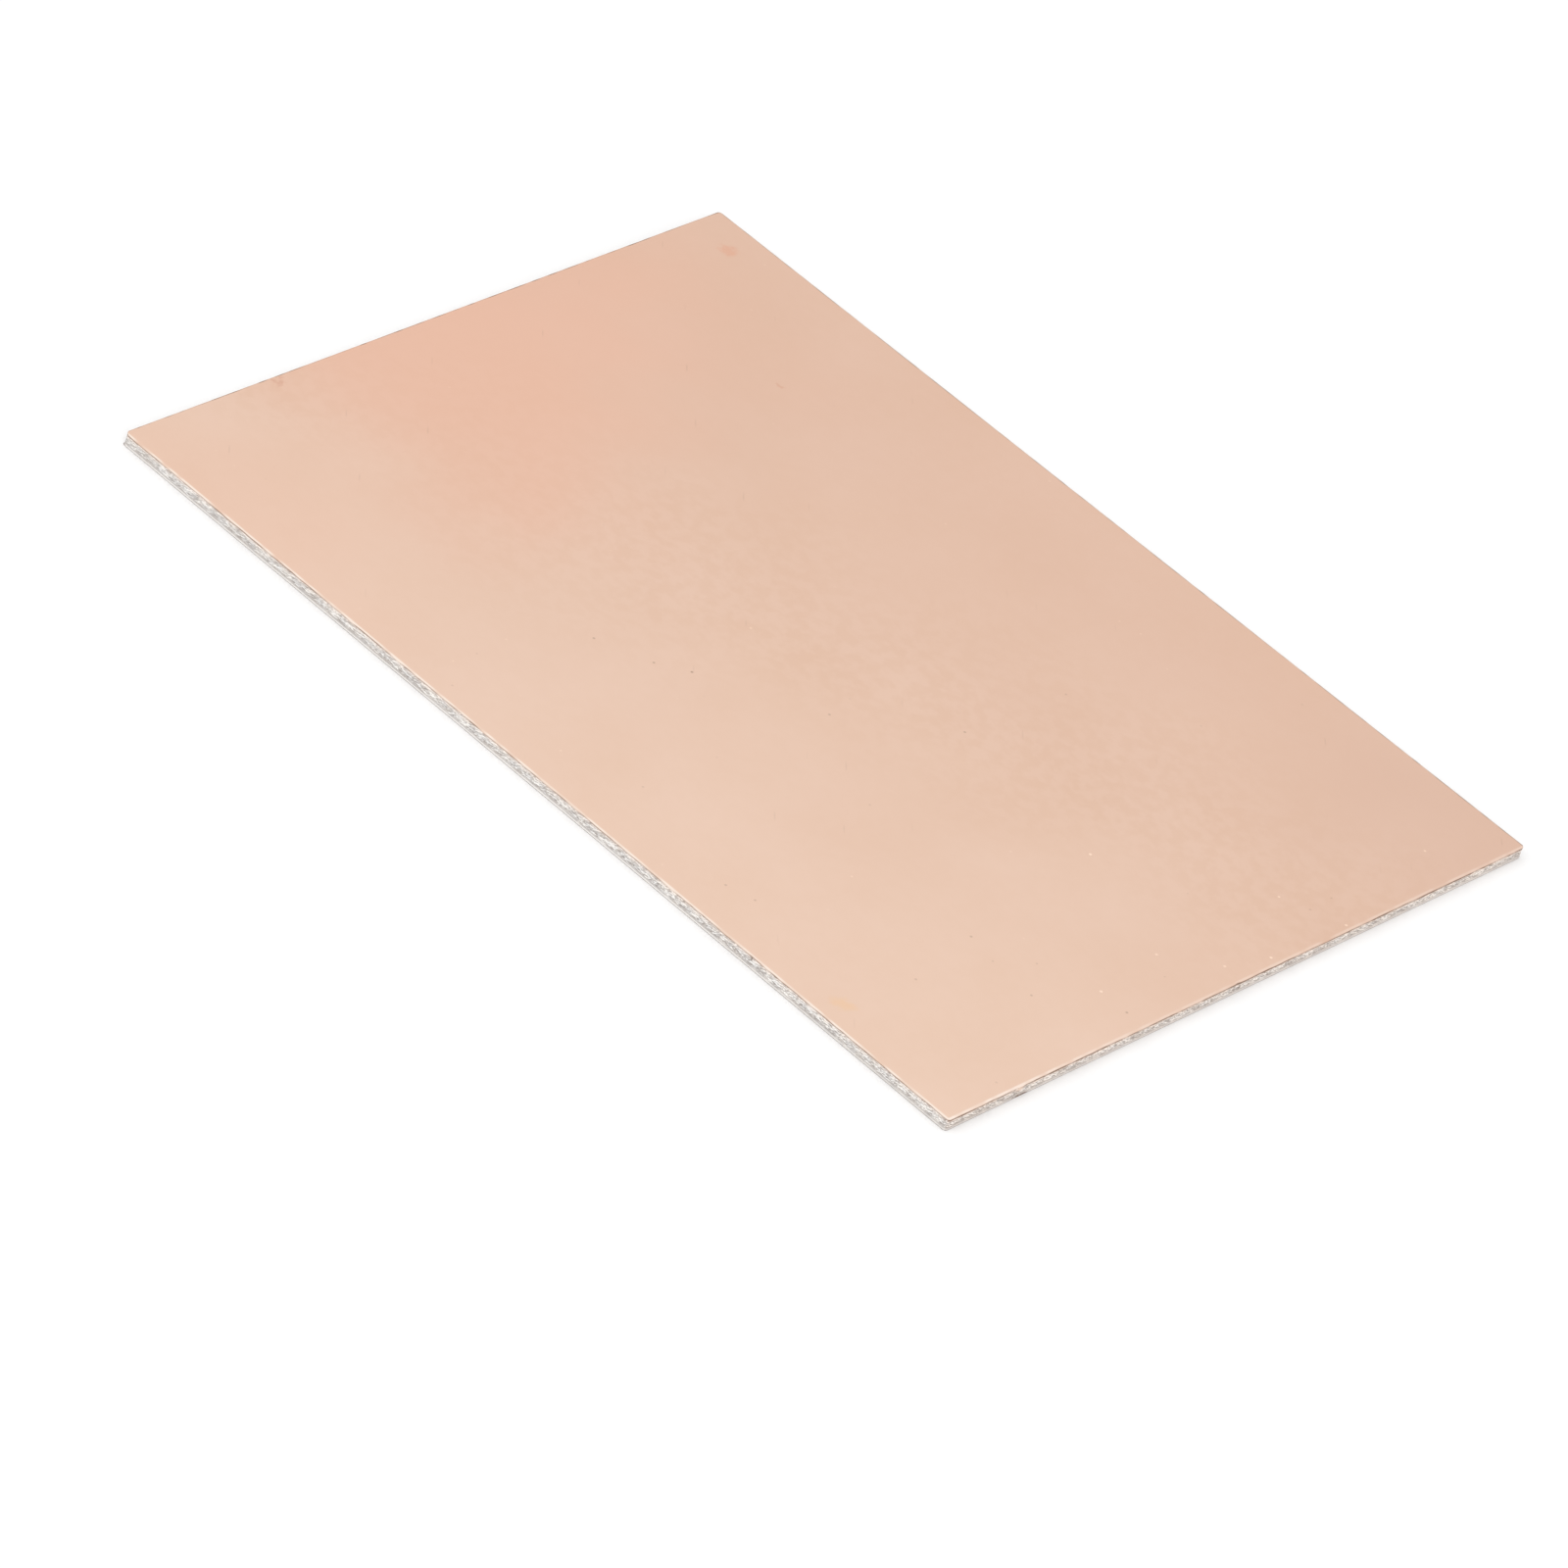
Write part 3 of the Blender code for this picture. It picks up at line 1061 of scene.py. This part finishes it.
def treatment_material(foil):
    """The bonding treatment, brown nodules of copper oxide and zinc plated on the foil's lower side.

    It is matt and dark, and shows only as the line under the overhanging rim."""
    material = bpy.data.materials.new("Brown bonding treatment")
    material.use_nodes = True
    tree = material.node_tree
    shader = tree.nodes["Principled BSDF"]
    place = add_node(tree, "ShaderNodeTexCoord").outputs["Object"]
    # The nodules are a few micrometres wide, and are drawn coarser
    nodules = add_node(
        tree, "ShaderNodeTexNoise", {"Vector": place, "Scale": 1 / 0.00005, "Detail": 2.0}
    ).outputs["Fac"]
    colour = add_node(
        tree,
        "ShaderNodeMix",
        {
            MIX_SHARE: nodules,
            MIX_FIRST: opaque([c * 0.8 for c in foil.treatment_colour]),
            MIX_SECOND: opaque([c * 1.2 for c in foil.treatment_colour]),
        },
        data_type="RGBA",
    ).outputs[MIX_RESULT]
    tree.links.new(colour, shader.inputs["Base Color"])
    shader.inputs["Roughness"].default_value = 0.8
    return material


class BuildStage(bpy.types.Operator):
    """Sets the camera at the photo's angle, and lays the white floor under soft lamps"""

    bl_idname = "board.build_stage"
    bl_label = "Camera, floor and lamps"
    bl_options = {"REGISTER", "UNDO"}

    def execute(self, context):
        stage = context.scene.board_stage
        self.add_camera(context, stage)
        self.add_floor(context, stage)
        self.add_room_light(context, stage)
        for name, place, size, power in (
            ("key lamp", (-0.55, -1.1, 0.95), 0.9, stage.key_power),
            ("top lamp", (-0.1, 0.1, 1.3), 1.1, stage.top_power),
            ("edge lamp", (1.1, -0.8, 0.5), 0.9, stage.edge_power),
        ):
            self.add_lamp(context, name, Vector(place), size, power)
        context.scene.view_settings.view_transform = "Standard"
        return {"FINISHED"}

    def add_camera(self, context, stage):
        towards = Vector(
            (
                math.sin(stage.azimuth) * math.cos(stage.elevation),
                -math.cos(stage.azimuth) * math.cos(stage.elevation),
                math.sin(stage.elevation),
            )
        )
        lens = bpy.data.cameras.new("studio camera")
        lens.lens = stage.lens
        lens.sensor_width = 36.0
        lens.clip_start = 0.01
        lens.clip_end = 100.0
        camera = bpy.data.objects.new("studio camera", lens)
        camera.location = Vector(stage.aim) + towards * stage.distance
        turn = (-towards).to_track_quat("-Z", "Y") @ Quaternion((0.0, 0.0, 1.0), stage.roll)
        camera.rotation_euler = turn.to_euler()
        context.scene.collection.objects.link(camera)
        context.scene.camera = camera

    def add_floor(self, context, stage):
        """White painted floor: matt, and bright enough that only the board's shadow shows on it."""
        bm = bmesh.new()
        bmesh.ops.create_grid(bm, x_segments=1, y_segments=1, size=stage.floor_size / 2)
        mesh = bpy.data.meshes.new("studio_floor")
        bm.to_mesh(mesh)
        bm.free()
        floor = bpy.data.objects.new("studio_floor", mesh)
        context.scene.collection.objects.link(floor)
        material = bpy.data.materials.new("White matt floor paint")
        material.use_nodes = True
        shader = material.node_tree.nodes["Principled BSDF"]
        shader.inputs["Base Color"].default_value = opaque(stage.floor_colour)
        shader.inputs["Roughness"].default_value = 0.9
        shader.inputs["Specular IOR Level"].default_value = 0.0
        mesh.materials.append(material)

    def add_room_light(self, context, stage):
        """Even light from all round, which the camera and the metal see as plain white."""
        world = bpy.data.worlds.new("white room")
        world.use_nodes = True
        tree = world.node_tree
        tree.nodes.clear()
        path = add_node(tree, "ShaderNodeLightPath")
        seen = path.outputs["Is Camera Ray"]
        for ray in ("Is Glossy Ray", "Is Transmission Ray"):
            either = add_node(tree, "ShaderNodeMath", {0: seen, 1: path.outputs[ray]}, operation="MAXIMUM")
            seen = either.outputs[0]
        light, backdrop = (
            add_node(
                tree, "ShaderNodeBackground", {"Color": (1.0, 1.0, 1.0, 1.0), "Strength": strength}
            ).outputs[0]
            for strength in (stage.sky_strength, 1.0)
        )
        mixed = add_node(tree, "ShaderNodeMixShader", {0: seen, 1: light, 2: backdrop}).outputs[0]
        add_node(tree, "ShaderNodeOutputWorld", {"Surface": mixed})
        context.scene.world = world

    def add_lamp(self, context, name, place, size, power):
        """A square softbox that faces the board. The metal doesn't mirror it, so that nothing glares."""
        light = bpy.data.lights.new(name, "AREA")
        light.shape = "SQUARE"
        light.size = size
        light.energy = power
        lamp = bpy.data.objects.new(name, light)
        lamp.location = place
        lamp.rotation_euler = (-place).to_track_quat("-Z", "Y").to_euler()
        lamp.visible_glossy = False
        context.scene.collection.objects.link(lamp)


class BoardPanel(bpy.types.Panel):
    """Lists the steps that build the board's looks, with their settings"""

    bl_idname = "VIEW3D_PT_copper_clad_board"
    bl_label = "Copper clad board"
    bl_space_type = "VIEW_3D"
    bl_region_type = "UI"
    bl_category = "Board"

    def draw(self, context):
        scene = context.scene
        for operator, settings in (
            (BuildLaminate, scene.board_laminate),
            (BuildCopper, scene.board_copper),
            (BuildStage, scene.board_stage),
        ):
            box = self.layout.box()
            box.operator(operator.bl_idname)
            for name in settings.__annotations__:
                box.prop(settings, name)


CLASSES = (
    LaminateSettings,
    CopperSettings,
    StageSettings,
    BuildLaminate,
    BuildCopper,
    BuildStage,
    BoardPanel,
)


def register():
    for cls in CLASSES:
        bpy.utils.register_class(cls)
    bpy.types.Scene.board_laminate = PointerProperty(type=LaminateSettings)
    bpy.types.Scene.board_copper = PointerProperty(type=CopperSettings)
    bpy.types.Scene.board_stage = PointerProperty(type=StageSettings)


def unregister():
    del bpy.types.Scene.board_stage
    del bpy.types.Scene.board_copper
    del bpy.types.Scene.board_laminate
    for cls in reversed(CLASSES):
        bpy.utils.unregister_class(cls)


def main():
    register()
    bpy.ops.board.build_laminate()
    bpy.ops.board.build_copper()
    bpy.ops.board.build_stage()


if __name__ == "__main__":
    main()
